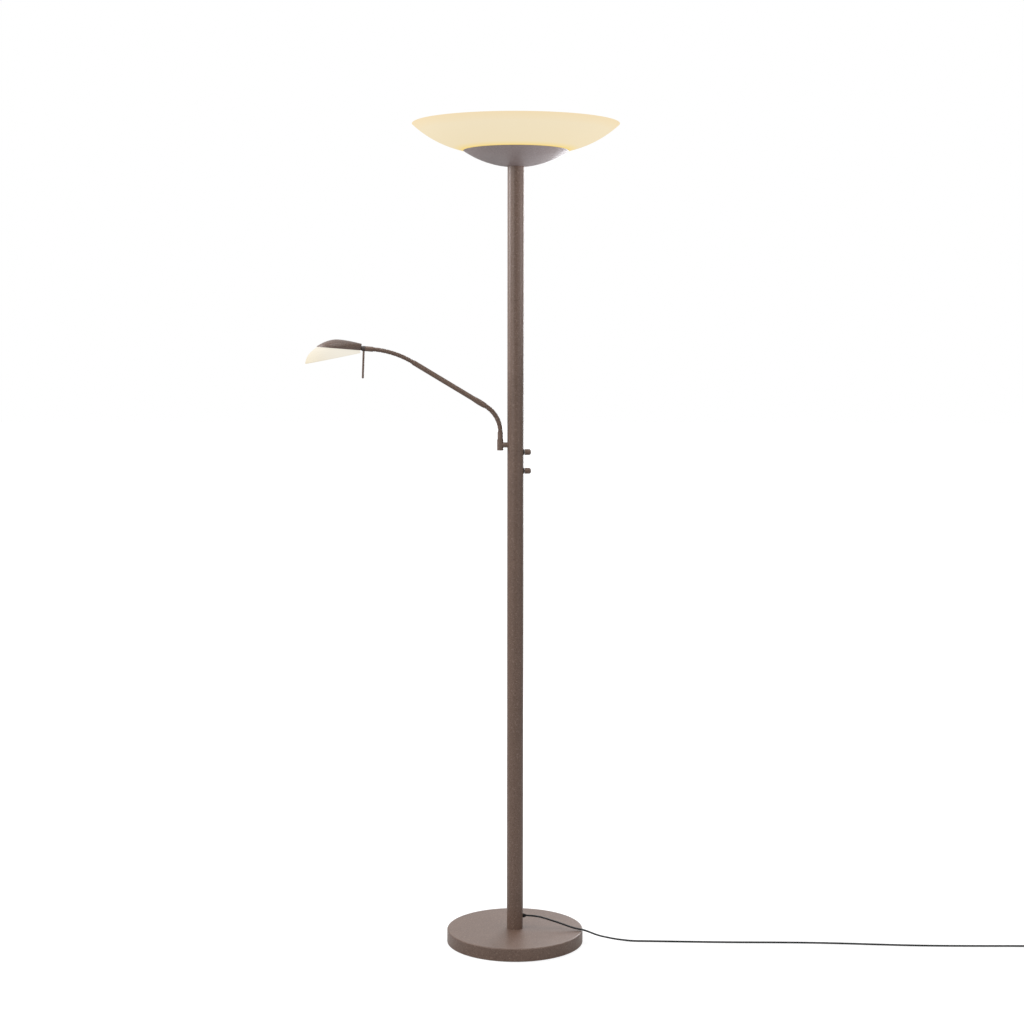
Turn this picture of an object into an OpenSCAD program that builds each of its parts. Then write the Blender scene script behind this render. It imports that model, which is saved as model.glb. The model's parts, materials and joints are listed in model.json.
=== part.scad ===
// Floor lamp with an uplight bowl, a flexible reading arm and two rotary dimmers.
// Millimetres, +Z up. The origin is the centre of the underside of the base, on the floor.
// The reading arm points to -X. The control knobs and the mains lead are on the +X side.

/* [Overall] */
// Height of the glass bowl's rim above the floor
total_h = 1799; // [1650:1:1900]
// Gap between parts that only sit beside each other
clear = 0.3; // [0.2:0.05:0.4]
// Radial gap of a pin or shaft that turns in its hole
run_fit = 0.05; // [0.02:0.01:0.1]

/* [Base] */
// Diameter of the base
base_d = 302; // [260:2:340]
// Height of the base from the floor to its top face
base_h = 29; // [27:1:34]
// Wall of the spun steel base cover
base_wall = 1.5; // [1:0.1:2]
// Radius of the base cover's top edge
base_edge_r = 2.5; // [2:0.5:4]
// Thickness of the foam pad under the base
pad_t = 2; // [1:0.5:3]
// Thickness of the cast weight's plate
weight_t = 14; // [10:1:18]
// Diameter of the cast weight's middle boss
weight_boss_d = 74; // [60:2:100]
// Width of the cast weight's raised rim
weight_rim_w = 12; // [8:1:20]
// Diameter of the stud that holds the pole to the base
stud_d = 12; // [10:1:14]

/* [Pole] */
// Outer diameter of the pole
pole_d = 36; // [34:1:42]
// Wall of the pole tube
pole_wall = 1.2; // [1:0.1:2]
// Height of the seam between the two pole sections
seam_z = 855; // [700:5:950]
// Length of the sleeve that joins the two pole sections
joiner_l = 90; // [60:5:140]
// Wall of that sleeve
joiner_wall = 1.5; // [1:0.1:2]
// Length of the plugs in the pole's two ends
plug_l = 16; // [12:1:24]
// Outer diameter of the threaded nipple at the top of the pole
nipple_d = 10; // [9:0.5:12]
// Bore of the nipple
nipple_bore = 7; // [6:0.5:8]

/* [Uplight] */
// Diameter of the glass bowl
bowl_d = 448; // [400:4:480]
// Radius of the bowl's curved wall, seen in section
bowl_curve_r = 229; // [215:1:260]
// Radius at which the bowl's curved wall is level
bowl_flat_r = 69.6; // [60:0.2:75]
// Thickness of the bowl's glass
bowl_t = 4; // [3:0.5:5]
// Diameter of the metal dish under the bowl
dish_d = 227; // [200:1:260]
// Radius of the dish's curve
dish_curve_r = 203; // [190:1:240]
// Wall of the dish
dish_wall = 1.2; // [0.8:0.1:1.6]
// Gap between the dish's rim and the glass
rim_gap = 1.2; // [1:0.1:3]
// Width of the gasket between the dish and the glass
gasket_w = 4; // [3:0.5:6]
// Distance of the gasket from the dish's rim
gasket_inset = 3; // [2.5:0.5:6]
// Diameter of the aluminium plate that carries the lamp module
carrier_d = 168; // [156:2:180]
// Thickness of that plate
carrier_t = 3; // [2:0.5:4]
// Height of that plate's rim
carrier_rim_h = 7; // [5:1:10]
// Height of the opal diffuser above the plate's rim
diffuser_h = 12; // [8:1:16]
// Number of light-emitting chips on the uplight's board
chip_count = 24; // [12:1:36]

/* [Controls] */
// Height of the upper knob
knob_z = 1092; // [1060:1:1110]
// Distance between the two knobs
knob_gap = 41; // [34:1:60]
// Diameter of a knob
knob_d = 13; // [11:0.1:16]
// Length of a knob
knob_l = 13.8; // [11:0.1:18]
// Radius of a knob's rounded end
knob_edge_r = 4.5; // [2:0.5:5.5]
// Diameter of the black nut behind a knob
dimmer_nut_d = 12; // [10:0.5:14]
// How far that nut stands out of the pole
dimmer_nut_t = 1.8; // [1.5:0.1:3]
// Diameter of a dimmer's body
dimmer_d = 17; // [15:0.5:18]
// Depth of a dimmer's body
dimmer_l = 12; // [8:0.5:14]
// Diameter of a dimmer's threaded bush
bush_d = 8; // [7:0.5:9]
// Diameter of a dimmer's shaft
shaft_d = 6; // [5:0.5:6]

/* [Arm bracket] */
// Height of the bracket's centre
bracket_z = 1107.5; // [1100:0.5:1160]
// Distance from the pole's axis to the swivel's axis
bracket_reach = 33.3; // [32:0.1:44]
// Diameter of the bracket's stub
stub_d = 11.6; // [8:0.1:12]
// Diameter of the bracket's upright block
block_d = 14; // [12.5:0.1:16]
// Height of that block
block_h = 24; // [20:1:32]
// Diameter of the swivel's spigot
spigot_d = 8; // [7:0.5:8.5]
// Diameter of the ferrule above the block
ferrule_d = 12; // [11.5:0.1:12.5]
// Length of that ferrule
ferrule_l = 16; // [12:1:24]

/* [Flexible arm] */
// Outer diameter over the ribs of the lower flexible tube
lower_flex_d = 10.6; // [10:0.1:11.2]
// Outer diameter over the ribs of the upper flexible tube
upper_flex_d = 9.4; // [9:0.1:10]
// Length of one link of the lower flexible tube
lower_link_l = 9.7; // [9.6:0.1:12]
// Length of one link of the upper flexible tube
upper_link_l = 11.5; // [9.6:0.1:12.5]
// Radius of one rib's round back
rib_r = 1; // [0.9:0.05:1.05]
// Radius of the ball between two links
ball_r = 2.9; // [2.7:0.05:3]
// Bore for the wires through the flexible tube
wire_bore = 2.2; // [1.6:0.1:2.4]
// Links of the lower flexible tube
lower_links = 6; // [5:1:7]
// Links of the upper flexible tube
upper_links = 7; // [5:1:8]
// Bend of the lower flexible tube in the stored pose, in degrees
lower_bend = 59; // [30:1:80]
// Bend of the upper flexible tube in the stored pose, in degrees
upper_bend = 26.3; // [0:0.1:60]
// Length of the straight part of the arm
arm_l = 184.5; // [150:0.5:260]
// Outer diameter of the arm tube
arm_d = 11.1; // [10.6:0.1:12]
// Wall of the arm tube
arm_wall = 1; // [0.8:0.1:1.4]
// Diameter of the coupler at the arm's lower end
coupler_d = 12.8; // [12.6:0.1:15]
// Length of that coupler
coupler_l = 30; // [24:1:40]
// Diameter of the sleeve at the arm's upper end
end_sleeve_d = 11.1; // [10:0.1:12]
// Length of that sleeve
end_sleeve_l = 16.6; // [12.5:0.1:20]

/* [Reading head] */
// Diameter of the turning block beside the head
turn_block_d = 11.4; // [10:0.1:12]
// Length of that block
turn_block_l = 6.4; // [6:0.1:8]
// Diameter of the head's neck
neck_d = 9.5; // [8:0.1:10]
// Length of the head's neck
neck_l = 2; // [1.5:0.1:8]
// Diameter of the spindle that the head turns on
spindle_d = 5.2; // [4.6:0.1:5.6]
// Length of that spindle
spindle_l = 10; // [8:0.5:11.5]
// Diameter of the aiming rod
rod_d = 4.7; // [3.5:0.1:4.9]
// Distance from the head's axis to the rod's end
rod_l = 65; // [50:0.5:90]
// Lean of the aiming rod towards the pole, in degrees
rod_lean = 2.5; // [0:0.5:4]
// Length of the head's metal cover
cover_l = 97.6; // [90:0.1:110]
// Width of the head's metal cover
cover_w = 80; // [76:1:96]
// Height of the cover's crown above the head's axis
cover_crown = 15.2; // [15:0.1:22]
// Height of the cover's rear end above the head's axis
cover_back = 9.9; // [8:0.1:12]
// Distance of the cover's lower edge below the head's axis
cover_edge = 4.4; // [2:0.1:5]
// Distance of the crown from the cover's rear end
cover_crown_u = 50.5; // [45:0.5:60]
// Wall of the cover
cover_wall = 1.2; // [1:0.1:1.5]
// Length of the glass shade's rim
shade_l = 119.2; // [110:0.1:130]
// Width of the glass shade's rim
shade_w = 96; // [88:1:110]
// Drop of the shade's rim at its rear end, below the head's axis
shade_back_drop = 9.1; // [7:0.1:12]
// Slope of the shade's rim against the head's axis, in degrees
shade_slope = 15.9; // [8:0.1:18]
// Thickness of the shade's glass
shade_t = 3; // [2:0.1:3.5]
// Diameter of the reading light's lens
lens_d = 38; // [34:1:40]

/* [Mains lead] */
// Width of the flat twin lead
lead_w = 5.4; // [5:0.1:6]
// Thickness of the flat twin lead
lead_t = 3.4; // [3:0.1:3.8]
// Height at which the lead leaves the pole
lead_exit_z = 57; // [55:1:60]
// Diameter of the gland's flange
gland_d = 9; // [8.5:0.5:12]
// Length of the gland's tapered boot outside the pole
boot_l = 3; // [2:0.5:6]
// Mean radius of the put-away coil
coil_r = 30; // [27:0.5:34]
// Turns of the coil in each of its two layers
coil_turns = 2.25; // [1.25:1:3.25]
// Distance between neighbouring turns of the coil
coil_pitch = 6; // [5.9:0.1:6.6]
// Width of the plug
plug_w = 35; // [33:0.5:37]
// Height of the plug as it lies
plug_h = 13.7; // [13:0.1:15]
// Length of the plug's body
plug_body_l = 37; // [32:1:45]
// Diameter of a plug pin
pin_d = 4; // [4:0.1:4.8]
// Length of a plug pin
pin_l = 19; // [18:0.5:19.5]
// Distance between the two plug pins
pin_gap = 18.6; // [18:0.1:19.2]

/* [Hidden] */
$fn = 96;

rust = [0.43, 0.36, 0.33];
dark_rust = [0.28, 0.24, 0.23];
steel = [0.72, 0.72, 0.74];
black = [0.08, 0.08, 0.08];
cream_glass = [0.96, 0.89, 0.74];
opal = [0.97, 0.97, 0.95];
aluminium = [0.82, 0.83, 0.85];
board_white = [0.93, 0.94, 0.92];
chip_yellow = [0.95, 0.85, 0.35];
brass = [0.78, 0.62, 0.32];

function unit(v) = v / norm(v);
function mix(a, b, s) = a + (b - a) * s;

// Base and pole, worked out
base_r = base_d / 2;
cover_top_z = base_h - base_wall;
weight_r = base_r - base_wall - 2 * clear;
pole_r = pole_d / 2;
pole_in_r = pole_r - pole_wall;
pole_plug_r = pole_in_r - run_fit;
stud_pocket_z = base_h - 13;
base_nut_t = 8;
base_nut_across = 19;

// Glass bowl, worked out from its rim downwards
bowl_r = bowl_d / 2;
bowl_centre_z = total_h + sqrt(pow(bowl_curve_r, 2) - pow(bowl_r - bowl_flat_r, 2));
bowl_in_curve_r = bowl_curve_r - bowl_t;
function bowl_under(r) = bowl_centre_z - sqrt(pow(bowl_curve_r, 2) - pow(r - bowl_flat_r, 2));
function bowl_inside(r) = bowl_centre_z - sqrt(pow(bowl_in_curve_r, 2) - pow(r - bowl_flat_r, 2));
bowl_hole_r = bowl_flat_r + 1;

// Dish, hung under the glass by its gasket
dish_r = dish_d / 2;
dish_rim_z = bowl_under(dish_r) - rim_gap;
dish_centre_z = dish_rim_z + sqrt(pow(dish_curve_r, 2) - pow(dish_r, 2));
dish_seat_r = pole_r + 1.5;
dish_seat_z = dish_centre_z - sqrt(pow(dish_curve_r, 2) - pow(dish_seat_r, 2));
pole_top_z = dish_seat_z;

// Lamp module stack on the nipple
washer_t = 1.6;
washer_w = 9;
carrier_r = carrier_d / 2;
washer_out_r = carrier_r - 1;
washer_z = bowl_inside(washer_out_r) + 0.05;
carrier_z = washer_z + washer_t;
carrier_top_z = carrier_z + carrier_t;
nut_t = 5;
nut_across = 17;
nipple_top_z = carrier_top_z + nut_t + 1.5;
board_t = 1.6;
board_in_r = 16;
chip_ring_r = 0.68 * carrier_r;

// Controls, worked out
knob_heights = [knob_z, knob_z - knob_gap];
dimmer_front_x = sqrt(pow(pole_in_r, 2) - pow(dimmer_d / 2, 2)) - 0.1;
dimmer_nut_x = pole_r + dimmer_nut_t;
knob_x = dimmer_nut_x + 0.4;
shaft_start_x = dimmer_front_x - 2;
shaft_end_x = knob_x + knob_l - knob_edge_r - 1.5;
bush_end_x = dimmer_nut_x;

// Arm, worked out: the swivel's axis, then each hinge of the two flexible tubes
swivel_x = -bracket_reach;
block_top_z = bracket_z + block_h / 2;
block_bottom_z = bracket_z - block_h / 2;
clip_pocket_h = 4;
clip_pocket_d = block_d - 2;
ferrule_top_z = block_top_z + clear + ferrule_l;
lower_turn = lower_bend / (lower_links + 1);
upper_turn = upper_bend / (upper_links + 1);
function heading(a) = [-sin(a), 0, cos(a)];
function chain(start, a, turn, count, l) =
    [for (k = 0, p = start; k <= count; k = k + 1, p = p + l * heading(a + k * turn)) p];
lower_start = [swivel_x, 0, ferrule_top_z + lower_link_l / 2];
lower_hinges = chain(lower_start, 0, lower_turn, lower_links, lower_link_l);
arm_start = lower_hinges[lower_links] + (lower_link_l / 2) * heading(lower_bend);
upper_start = arm_start + (arm_l + upper_link_l / 2) * heading(lower_bend);
upper_hinges = chain(upper_start, lower_bend, upper_turn, upper_links, upper_link_l);
head_angle = lower_bend + upper_bend;
sleeve_start = upper_hinges[upper_links] + (upper_link_l / 2) * heading(head_angle);
turn_start = sleeve_start + (end_sleeve_l + clear) * heading(head_angle);
head_start = turn_start + (turn_block_l + neck_l) * heading(head_angle);
head_tilt = 90 - head_angle;
widest_turn = 14.3;
function clear_of_next(d, room) =
    (room + (d / 2 - rib_r) * sin(widest_turn / 2)) / cos(widest_turn / 2);
core_end = clear_of_next(lower_flex_d, 0.1);
lower_rib = clear_of_next(lower_flex_d, rib_r + 0.08);
upper_rib = clear_of_next(upper_flex_d, rib_r + 0.08);
function rib_count(l, first) = ceil((l - 2 * first) / 1.8) + 1;
function ribs(l, first, to) = let (n = rib_count(l, first), gap = (l - 2 * first) / (n - 1))
    [for (k = [0 : n - 1]) if (first + k * gap < to) first + k * gap];
socket_r = ball_r + 0.12;
rod_u = -neck_l - turn_block_l / 2;
rod_seat = 3;

// Reading head, worked out
glass_top = 1;
flange_t = 3;
flange_w = 8;
cover_floor = 3;
shade_front_pull = 30.8;
shade_bulge = 8.3;
boss_us = [23.5, 73];
boss_d = 7;
screw_d = 3;
plate_top = glass_top - flange_t - clear;
plate_t = 2;
lens_u = 48;

// Mains lead: points chosen by hand along the lead's middle, from the gland to the coil
lead_low = lead_t / 2 + 0.2;
tie_t = 0.8;
coil_low = lead_t / 2 + tie_t + 0.2;
boot_end_x = pole_r + 3 + boot_l;
lead_points = [
    [boot_end_x, 0, lead_exit_z], [boot_end_x + 7, 0, lead_exit_z - 0.2], [44, -1, 56], [56, -2, 54.3],
    [69, -4, 51.3], [83, -7, 47.6], [97, -10, 43.9], [111, -13.5, 39.9], [125, -17, 36],
    [138, -20, 33.2], [150, -22, 31.5], [162, -23, 28], [174, -22.5, 23], [188, -20, 17.5],
    [203, -16, 12.8], [222, -12, 7.8], [243, -9, 4], [265, -8.5, lead_low], [300, -10, lead_low],
    [345, -12, lead_low], [395, -14.3, lead_low], [450, -16.3, lead_low], [510, -17.5, lead_low],
    [575, -18, lead_low], [640, -19.5, lead_low], [705, -23, lead_low], [770, -28.5, lead_low],
    [835, -34.5, lead_low], [900, -39, lead_low], [965, -41, lead_low], [1030, -41.5, lead_low],
    [1090, -41.5, lead_low], [1135, -41.5, lead_low], [1160, -41.5, coil_low], [1170, -41.5, coil_low],
    [1178, -41.5, coil_low]];
coil_start = lead_points[len(lead_points) - 1];
coil_out_r = coil_r + coil_pitch * coil_turns / 2;
coil_x = coil_start[0] + 6;
coil_y = coil_start[1] - coil_out_r;
coil_layer = lead_t + 0.6;
plug_z = plug_h / 2 + 0.2;

// A ring of points every few millimetres along a smooth curve through the given points
function spline(a, b, c, d, s) =
    0.5 * ((2 * b) + (c - a) * s + (2 * a - 5 * b + 4 * c - d) * s * s
        + (3 * b - a - 3 * c + d) * s * s * s);
function smooth(p, step) = let (n = len(p)) concat(
    [for (i = [0 : n - 2])
        let (a = p[max(i - 1, 0)], b = p[i], c = p[i + 1], d = p[min(i + 2, n - 1)],
             parts = max(1, round(norm(c - b) / step)))
        for (k = [0 : parts - 1]) spline(a, b, c, d, k / parts)],
    [p[n - 1]]);

// Sweeps a closed section along a path; side names the direction that the section's width lies across
function tangent(p, i) = unit(p[min(i + 1, len(p) - 1)] - p[max(i - 1, 0)]);
function ring_at(p, i, section, side) =
    let (t = tangent(p, i), s = unit(cross(t, side)), n = cross(s, t))
    [for (q = section) p[i] + q[0] * s + q[1] * n];
function tube_faces(rings, sides) = concat(
    [for (i = [0 : rings - 2], k = [0 : sides - 1])
        let (a = i * sides + k, b = i * sides + (k + 1) % sides)
        each [[a, b, b + sides], [a, b + sides, a + sides]]],
    [for (k = [1 : sides - 2]) [0, k + 1, k]],
    [for (k = [1 : sides - 2]) let (a = (rings - 1) * sides) [a, a + k, a + k + 1]]);
module sweep(path, section, side) {
    points = [for (i = [0 : len(path) - 1]) each ring_at(path, i, section, side)];
    polyhedron(points = points, faces = tube_faces(len(path), len(section)), convexity = 10);
}
lead_section = [for (q = [[1, 0.22], [0.62, 1], [-0.62, 1], [-1, 0.22],
                          [-1, -0.22], [-0.62, -1], [0.62, -1], [1, -0.22]])
    [q[0] * lead_w / 2, q[1] * lead_t / 2]];
coil_section = [for (q = [[1, 0], [0.55, 1], [-0.55, 1], [-1, 0], [-0.55, -1], [0.55, -1]])
    [q[0] * lead_w / 2, q[1] * lead_t / 2]];

// A ring-shaped solid between two radii
module ring(r_in, r_out, h) {
    difference() {
        cylinder(r = r_out, h = h);
        translate([0, 0, -1]) cylinder(r = r_in, h = h + 2);
    }
}

// A six-sided nut with its bore, standing on z = 0
module hex_nut(across, bore_r, h) {
    difference() {
        cylinder(r = across / sqrt(3), h = h, $fn = 6);
        translate([0, 0, -1]) cylinder(r = bore_r, h = h + 2);
    }
}

module base_pad() {
    color(black) cylinder(r = weight_r, h = pad_t);
}

module base_weight() {
    color(dark_rust) difference() {
        translate([0, 0, pad_t]) union() {
            cylinder(r = weight_r, h = weight_t);
            cylinder(r = weight_boss_d / 2, h = cover_top_z - pad_t - 0.1);
            ring(weight_r - weight_rim_w, weight_r, cover_top_z - pad_t - base_edge_r);
        }
        cylinder(r = stud_d / 2 + clear, h = base_h);
        translate([0, 0, -1]) cylinder(r = base_nut_across / sqrt(3) + 5, h = stud_pocket_z + 1);
    }
}

module base_cover() {
    foot = 0.8;
    in_r = base_r - base_wall;
    in_edge = base_edge_r - base_wall;
    color(rust) rotate_extrude() difference() {
        union() {
            square([base_r - base_edge_r, base_h]);
            square([base_r, base_h - base_edge_r]);
            translate([base_r - base_edge_r, base_h - base_edge_r]) circle(base_edge_r);
        }
        translate([-1, -1]) square([in_r - in_edge + 1, cover_top_z + 1]);
        translate([-1, -1]) square([in_r + 1, cover_top_z - in_edge + 1]);
        translate([in_r - in_edge, cover_top_z - in_edge]) circle(in_edge);
        translate([-1, -1]) square([base_r + 2, foot + 1]);
        translate([-1, -1]) square([stud_d / 2 + clear + 1, base_h + 2]);
    }
}

module base_nut() {
    color(steel) translate([0, 0, stud_pocket_z - base_nut_t])
        hex_nut(base_nut_across, stud_d / 2 + run_fit, base_nut_t);
}

module pole_foot() {
    color(steel) {
        translate([0, 0, base_h]) cylinder(r = pole_plug_r, h = plug_l);
        translate([0, 0, stud_pocket_z - base_nut_t - 2])
            cylinder(r = stud_d / 2, h = base_h - stud_pocket_z + base_nut_t + 3);
    }
}

// A length of the pole with a fine bevel at the seam end, bored for what passes its wall
module pole_tube(from_z, to_z) {
    color(rust) difference() {
        translate([0, 0, from_z]) cylinder(r = pole_r, h = to_z - from_z);
        translate([0, 0, from_z - 1]) cylinder(r = pole_in_r, h = to_z - from_z + 2);
        children();
    }
}

seam_bevel = 0.4;
module seam_groove() {
    translate([0, 0, seam_z]) rotate_extrude()
        polygon([[pole_r - seam_bevel, 0], [pole_r + 1, -seam_bevel - 1], [pole_r + 1, seam_bevel + 1]]);
}

module cross_bore(z, d, side) {
    translate([0, 0, z]) rotate([0, side * 90, 0]) cylinder(r = d / 2, h = pole_r + 2);
}

module pole_lower() {
    pole_tube(base_h, seam_z) {
        seam_groove();
        cross_bore(lead_exit_z, gland_stem_d + 2 * run_fit, 1);
    }
}

module pole_upper() {
    pole_tube(seam_z, pole_top_z) {
        seam_groove();
        cross_bore(bracket_z, bracket_thread_d + 2 * run_fit, -1);
        cross_bore(knob_heights[0], bush_d + 2 * run_fit, 1);
        cross_bore(knob_heights[1], bush_d + 2 * run_fit, 1);
    }
}

module pole_joiner() {
    color(steel) translate([0, 0, seam_z - joiner_l / 2])
        ring(pole_plug_r - joiner_wall, pole_plug_r, joiner_l);
}

module pole_top_plug() {
    plug_z = pole_top_z - plug_l;
    color(steel) difference() {
        union() {
            translate([0, 0, plug_z]) cylinder(r = pole_plug_r, h = plug_l);
            translate([0, 0, plug_z + 1]) cylinder(r = nipple_d / 2, h = nipple_top_z - plug_z - 1);
        }
        translate([0, 0, plug_z - 1]) cylinder(r = nipple_bore / 2, h = nipple_top_z - plug_z + 2);
    }
}

// Gland: a stem through the pole's wall, a flange on the pole and a short tapered boot on the lead
gland_stem_d = 7;
gland_stem_l = 8;
module cord_gland() {
    flange_x = pole_r + 3;
    color(black) translate([0, 0, lead_exit_z]) rotate([0, 90, 0]) difference() {
        union() {
            translate([0, 0, pole_in_r - gland_stem_l]) cylinder(r = gland_stem_d / 2, h = gland_stem_l + 3);
            difference() {
                translate([0, 0, pole_r - 2]) cylinder(r = gland_d / 2, h = 5);
                rotate([0, -90, 0]) translate([0, 0, -gland_d]) cylinder(r = pole_r, h = 2 * gland_d);
            }
            translate([0, 0, flange_x - 0.5])
                cylinder(r1 = gland_stem_d / 2 + 0.3, r2 = lead_w / 2 + 0.5, h = boot_l + 0.5);
        }
        translate([0, 0, pole_in_r - gland_stem_l - 1])
            cylinder(r = inner_lead_d / 2 + run_fit, h = gland_stem_l + pole_wall + 1 - 2);
    }
}

// The lead inside the pole, from the gland to the nipple, past the back of the dimmers
inner_lead_d = 4;
inner_lead_side = 12;
module inner_lead() {
    section = [for (k = [0 : 7]) inner_lead_d / 2 * [cos(45 * k + 22.5), sin(45 * k + 22.5)]];
    gland_x = pole_in_r - 2;
    points = [
        [gland_x, 0, lead_exit_z], [gland_x - 6, 0, lead_exit_z], [2, -2, lead_exit_z + 2],
        [-1, -6, lead_exit_z + 10], [0, -10, lead_exit_z + 24], [0, -inner_lead_side, lead_exit_z + 45],
        [0, -inner_lead_side, lead_exit_z + 60], [0, -inner_lead_side, seam_z],
        [0, -inner_lead_side, pole_top_z - 110], [0, -inner_lead_side, pole_top_z - 90],
        [0, -9, pole_top_z - 66], [0, -3, pole_top_z - 42], [0, 0, pole_top_z - 24],
        [0, 0, pole_top_z - 12], [0, 0, pole_top_z + 10]];
    color(black) sweep(smooth(points, 400), section, [0.3, -0.9, 0.1]);
}

module dish() {
    in_r = dish_curve_r - dish_wall;
    color(rust) rotate_extrude() difference() {
        intersection() {
            translate([0, dish_centre_z]) circle(dish_curve_r, $fn = 360);
            translate([0, dish_seat_z]) square([dish_r, dish_rim_z - dish_seat_z]);
        }
        intersection() {
            translate([0, dish_centre_z]) circle(in_r, $fn = 360);
            translate([-1, dish_seat_z + dish_wall]) square([dish_r + 1, dish_rim_z]);
        }
        translate([-1, 0]) square([nipple_d / 2 + clear + 1, dish_rim_z]);
    }
}

module dish_nuts() {
    color(brass) for (z = [dish_seat_z + dish_wall, carrier_top_z])
        translate([0, 0, z]) hex_nut(nut_across, nipple_d / 2 + run_fit, nut_t);
}

// Gasket inside the dish's rim, shaped to the dish below it and to the glass above
module glass_gasket() {
    color(black) rotate_extrude() difference() {
        intersection() {
            translate([dish_r - gasket_inset - gasket_w, dish_rim_z - 15]) square([gasket_w, 30]);
            translate([0, dish_centre_z]) circle(dish_curve_r - dish_wall - 0.02, $fn = 360);
        }
        translate([bowl_flat_r, bowl_centre_z]) circle(bowl_curve_r + 0.02, $fn = 360);
    }
}

// Glass bowl: a curved wall from the hole round the lamp module up to a rim ground flat with bevelled edges
module glass_bowl() {
    centre = [bowl_flat_r, bowl_centre_z];
    bevel = 0.8;
    rim_in_r = bowl_flat_r + sqrt(pow(bowl_in_curve_r, 2) - pow(bowl_centre_z - total_h, 2));
    color(cream_glass) rotate_extrude() difference() {
        intersection() {
            translate(centre) circle(bowl_curve_r, $fn = 360);
            translate([bowl_hole_r, dish_seat_z]) square([bowl_r, total_h - dish_seat_z]);
        }
        translate(centre) circle(bowl_in_curve_r, $fn = 360);
        polygon([[bowl_r - bevel, total_h + 0.1], [bowl_r + 1, total_h + 0.1], [bowl_r + 1, total_h - 1.6 * bevel]]);
        polygon([[rim_in_r + bevel, total_h + 0.1], [rim_in_r - 1, total_h + 0.1], [rim_in_r - 1, total_h - bevel]]);
    }
}

module glass_washer() {
    color(black) translate([0, 0, washer_z]) ring(washer_out_r - washer_w, washer_out_r, washer_t);
}

module led_carrier() {
    screw_r = 2.2;
    color(aluminium) difference() {
        translate([0, 0, carrier_z]) cylinder(r = carrier_r, h = carrier_t + carrier_rim_h);
        translate([0, 0, carrier_top_z]) cylinder(r = carrier_r - 2, h = carrier_rim_h + 1);
        translate([0, 0, carrier_z - 1]) cylinder(r = nipple_d / 2 + clear, h = carrier_t + 2);
        translate([driver_x, 0, carrier_z - 1]) cylinder(r = screw_r, h = carrier_t + 2);
    }
}

module led_board() {
    chip = 4;
    chip_h = 0.9;
    color(board_white) translate([0, 0, carrier_top_z]) ring(board_in_r, carrier_r - 4, board_t);
    color(chip_yellow) for (i = [0 : chip_count - 1]) rotate([0, 0, i * 360 / chip_count])
        translate([chip_ring_r - chip / 2, -chip / 2, carrier_top_z + board_t - 0.2]) cube([chip, chip, chip_h + 0.2]);
}

// Opal diffuser: a shallow cap that stands inside the plate's rim
module diffuser() {
    wall = 2;
    out_r = carrier_r - 2 - clear;
    cap_h = carrier_rim_h + diffuser_h;
    round_r = 9;
    foot_z = carrier_top_z + board_t + 0.05;
    color(opal) translate([0, 0, foot_z]) rotate_extrude() difference() {
        union() {
            square([out_r - round_r, cap_h]);
            square([out_r, cap_h - round_r]);
            translate([out_r - round_r, cap_h - round_r]) circle(round_r);
        }
        union() {
            translate([-1, -1]) square([out_r - round_r + 1, cap_h - wall + 1]);
            translate([-1, -1]) square([out_r - wall + 1, cap_h - round_r + 1]);
            translate([out_r - round_r, cap_h - round_r]) circle(round_r - wall);
        }
    }
}

// Driver: a closed box screwed under the plate, beside the nipple, inside the bowl's hole
driver_x = 30;
driver_w = 34;
driver_l = 76;
driver_h = 20;
module driver() {
    color(black) difference() {
        translate([driver_x - driver_w / 2, -driver_l / 2, carrier_z - driver_h])
            cube([driver_w, driver_l, driver_h]);
        for (side = [-1, 1]) translate([driver_x - driver_w / 2 - 1, side * (driver_l / 2 - 4) - 5, carrier_z - 3])
            cube([driver_w + 2, 10, 1.2]);
    }
    color(black) translate([driver_x, 0, carrier_z - 1]) cylinder(r = 2, h = carrier_t + 1);
}

// Dimmer: a round body behind the pole's wall, its threaded bush and three solder tags
module dimmer(z) {
    color(black) translate([0, 0, z]) rotate([0, 90, 0]) difference() {
        union() {
            translate([0, 0, dimmer_front_x - dimmer_l]) cylinder(r = dimmer_d / 2, h = dimmer_l);
            translate([0, 0, dimmer_front_x - 1]) cylinder(r = bush_d / 2, h = bush_end_x - dimmer_front_x + 1);
            for (y = [-5, 0, 5]) translate([-0.4, y - 1, dimmer_front_x - dimmer_l - 4]) cube([0.8, 2, 5]);
        }
        translate([0, 0, shaft_start_x - 0.2]) cylinder(r = shaft_d / 2 + run_fit, h = 30);
    }
}
module dimmer_upper() {
    dimmer(knob_heights[0]);
}
module dimmer_lower() {
    dimmer(knob_heights[1]);
}

// Black nuts, hollowed to the pole's curve, that hold the two bushes
module dimmer_nuts() {
    color(black) for (z = knob_heights) difference() {
        translate([pole_r - 2, 0, z]) rotate([0, 90, 0]) cylinder(r = dimmer_nut_d / 2, h = dimmer_nut_t + 2);
        translate([0, 0, z - dimmer_nut_d]) cylinder(r = pole_r, h = 2 * dimmer_nut_d);
        translate([0, 0, z]) rotate([0, 90, 0]) cylinder(r = bush_d / 2 + run_fit, h = 2 * pole_r);
    }
}

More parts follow.
